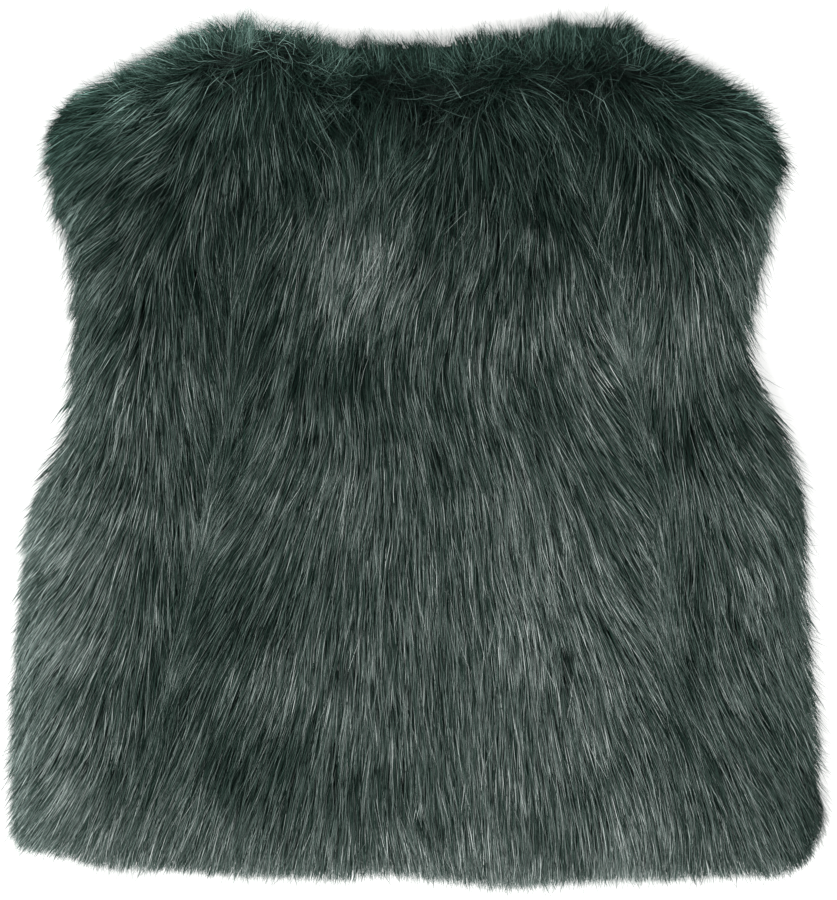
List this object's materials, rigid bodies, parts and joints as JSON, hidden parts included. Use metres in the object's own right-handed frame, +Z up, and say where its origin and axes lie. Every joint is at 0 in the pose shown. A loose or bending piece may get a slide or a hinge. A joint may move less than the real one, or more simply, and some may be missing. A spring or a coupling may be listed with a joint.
{
  "type": "faux fur vest",
  "caption": "Sleeveless long-pile faux fur vest laid flat on its front with the back up, a thick soft layered panel garment with shaped back seams.",
  "frame": {"origin": "middle of the bounding box at the underside, on the surface that the vest lies on", "axes": "+Z up off the surface, +Y from the hem to the neck, +X to the right in a view from above with the neck at the top"},
  "size_m": [0.5091, 0.544, 0.0502],
  "materials": {
    "fur_pile": "long loose acrylic pile, soft sheen",
    "pressed_pile": "long acrylic pile pressed flat, soft sheen"
  },
  "bodies": {
    "root": {"back_centre": "fur_pile", "back_side_left": "fur_pile", "back_side_right": "fur_pile", "front_left": "pressed_pile", "front_right": "pressed_pile"}
  },
  "joints": []
}
